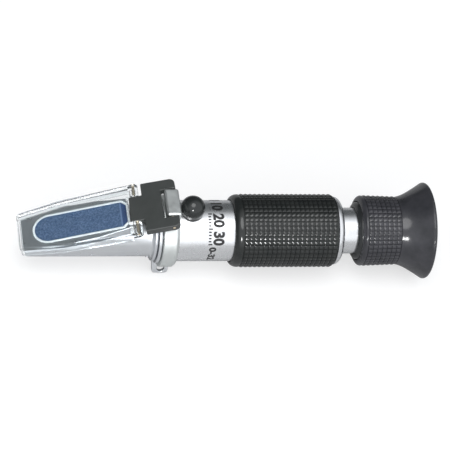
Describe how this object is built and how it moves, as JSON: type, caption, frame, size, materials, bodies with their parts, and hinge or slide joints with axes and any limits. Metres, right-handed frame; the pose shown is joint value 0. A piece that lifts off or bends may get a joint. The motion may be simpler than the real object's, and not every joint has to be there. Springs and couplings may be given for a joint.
{
  "type": "refractometer",
  "caption": "Hand-held tubular refractometer with a sloping prism under a hinged clear plate, a calibration screw under a ball cap, a pyramid-textured grip and a focusing flared eyepiece.",
  "frame": {"origin": "below the middle of the instrument, at the level of its lowest point with the optical axis level", "axes": "+X along the optical axis from the prism to the eyepiece, +Z to the side of the sample face and hinge, +Y to the left of someone looking from the prism to the eyepiece"},
  "size_m": [0.1706, 0.04, 0.04],
  "materials": {
    "satin_aluminium": "satin turned aluminium with a fine circumferential grain",
    "painted_casting": "pale grey fine-textured paint on a casting",
    "prism_glass": "blue-backed optical glass with a finely ground sample face",
    "prism_frame": "smooth pale sealing frame",
    "steel": "bright steel",
    "black_metal": "matt black anodised",
    "optical_glass": "polished, coated",
    "black_rubber": "moulded black rubber with a soft sheen",
    "brass": "turned brass",
    "black_plastic": "moulded black plastic, lightly textured",
    "gloss_black_plastic": "glossy black plastic",
    "clear_plastic": "clear moulded acrylic"
  },
  "bodies": {
    "main_body": {"prism_housing": "satin_aluminium", "prism": "prism_glass", "prism_bezel": "prism_frame", "lock_screw": "steel", "hinge_collar": "painted_casting", "strap_ring": "satin_aluminium", "barrel_tube": "satin_aluminium", "light_baffle": "black_metal", "reticle_cell": "black_metal", "reticle": "optical_glass", "reticle_retainer": "black_metal", "grip_sleeve": "black_rubber", "end_ring": "satin_aluminium", "guide_tube": "satin_aluminium", "adjuster_bushing": "brass", "preload_spring": "steel", "arm_pivot_pin": "brass"},
    "cover_arm": {"cover_arm": "black_plastic", "plate_pivot_pin": "brass"},
    "daylight_plate": {"daylight_plate": "clear_plastic"},
    "calibration_cap": {"calibration_cap": "black_rubber"},
    "calibration_screw": {"calibration_screw": "brass"},
    "lens_carriage": {"lens_carriage": "black_metal", "objective_lens": "optical_glass", "objective_retainer": "black_metal"},
    "ocular_carriage": {"ocular_cell": "black_metal", "guide_pin": "steel", "field_lens": "optical_glass", "lens_spacer": "black_metal", "eye_lens": "optical_glass", "eye_lens_retainer": "black_metal"},
    "eyepiece": {"focus_shell": "gloss_black_plastic", "cell_retainer": "black_metal", "eyecup": "black_rubber"}
  },
  "joints": [
    {"name": "cover_hinge", "type": "hinge", "parent": "main_body", "child": "cover_arm", "pos_m": [-0.0248, 0, 0.0371], "axis": [0, 1, 0], "range_deg": [0, 105]},
    {"name": "plate_hinge", "type": "hinge", "parent": "cover_arm", "child": "daylight_plate", "pos_m": [-0.0387, 0, 0.0331], "axis": [0, 1, 0], "range_deg": [0, 25]},
    {"name": "cap_pull", "type": "slide", "parent": "main_body", "child": "calibration_cap", "axis": [0, 0, 1], "range_m": [0, 0.01]},
    {"name": "calibration_turn", "type": "hinge", "parent": "main_body", "child": "calibration_screw", "pos_m": [-0.0155, 0, 0.034], "axis": [0, 0, 1], "range_deg": [-180, 180]},
    {"name": "lens_shift", "type": "slide", "parent": "main_body", "child": "lens_carriage", "axis": [0, 0, 1], "range_m": [-0.00025, 0.00025]},
    {"name": "focus_shift", "type": "slide", "parent": "main_body", "child": "ocular_carriage", "axis": [1, 0, 0], "range_m": [-0.00252, 0.00252]},
    {"name": "focus_turn", "type": "hinge", "parent": "ocular_carriage", "child": "eyepiece", "pos_m": [0.065, 0, 0.02], "axis": [1, 0, 0], "range_deg": [-100, 100]}
  ],
  "couplings": [
    {"joint": "calibration_turn", "follows": "lens_shift", "rad_per_m": 12560},
    {"joint": "focus_shift", "follows": "focus_turn", "m_per_rad": 0.0014324}
  ]
}
